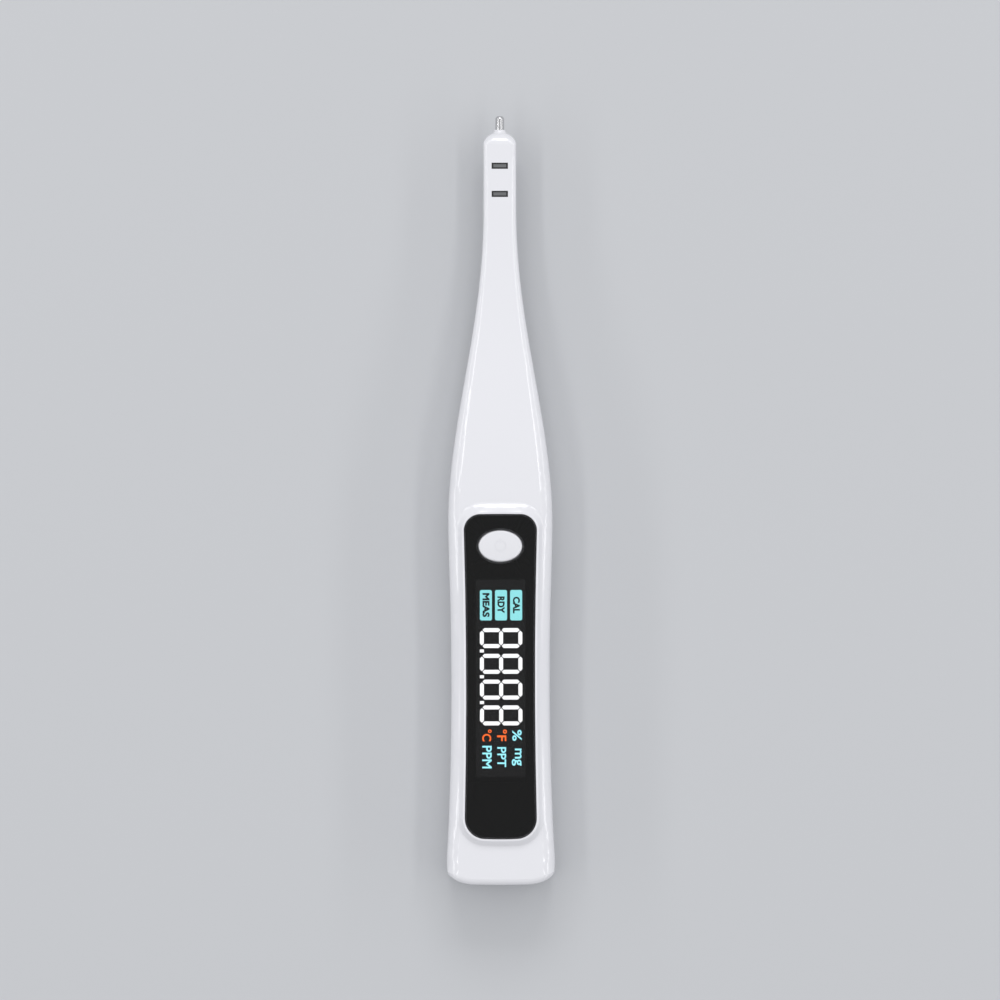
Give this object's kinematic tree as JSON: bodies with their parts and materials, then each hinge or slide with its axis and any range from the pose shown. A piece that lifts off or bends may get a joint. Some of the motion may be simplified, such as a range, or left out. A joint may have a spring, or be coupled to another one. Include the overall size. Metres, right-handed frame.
{
  "type": "salinity meter",
  "caption": "Pen-shaped pocket salinity meter with a waisted handle, a lit display behind a dark lens, an oval button and a tapered neck to an electrode probe.",
  "frame": {"origin": "on the plane of the flat back, below the middle of the bounding box", "axes": "+Y along the meter from its base to the tip of the probe, +Z out of the display, +X across it, so it lies on its back"},
  "size_m": [0.0288, 0.205, 0.0196],
  "materials": {
    "shell": "glossy",
    "lens": "glossy",
    "tape": "matte",
    "button": "glossy",
    "board": "satin",
    "display": "matte",
    "segments": "lit",
    "black_plastic": "satin",
    "small_parts": "satin",
    "header": "satin",
    "steel": "brushed",
    "electrode": "brushed",
    "bead": "satin",
    "seal": "matte",
    "insulation": "matte",
    "cell": "satin"
  },
  "bodies": {
    "housing": {"front_shell": "shell", "rear_shell": "shell", "display_lens": "lens", "lens_tape": "tape", "main_board": "board", "led_display": "display", "display_segments": "segments", "display_pins": "steel", "switch_body": "black_plastic", "switch_cover": "steel", "switch_dome": "steel", "controller_chip": "black_plastic", "board_parts": "small_parts", "probe_header": "header", "temperature_pin": "steel", "thermistor_bead": "bead", "electrode_upper": "electrode", "electrode_lower": "electrode", "electrode_collars": "seal", "electrode_leads": "insulation", "thermistor_leads": "insulation", "battery_left": "cell", "battery_right": "cell", "bridge_contact": "steel", "positive_contact": "steel", "negative_contact": "steel", "shell_screws": "steel", "board_screws": "steel"},
    "battery_door": {"battery_door": "shell"},
    "power_button": {"power_button": "button"},
    "switch_plunger": {"switch_plunger": "black_plastic"}
  },
  "joints": [
    {"name": "button_press", "type": "slide", "parent": "housing", "child": "power_button", "axis": [0, 0, -1], "range_m": [0, 0.0003], "stiffness_N_per_m": 600},
    {"name": "plunger_press", "type": "slide", "parent": "housing", "child": "switch_plunger", "axis": [0, 0, -1], "range_m": [0, 0.0003], "deforming": ["switch_dome"]},
    {"name": "door_slide", "type": "slide", "parent": "housing", "child": "battery_door", "axis": [0, -1, 0], "range_m": [0, 0.066]}
  ],
  "couplings": [
    {"joint": "plunger_press", "follows": "button_press", "ratio": 1}
  ]
}
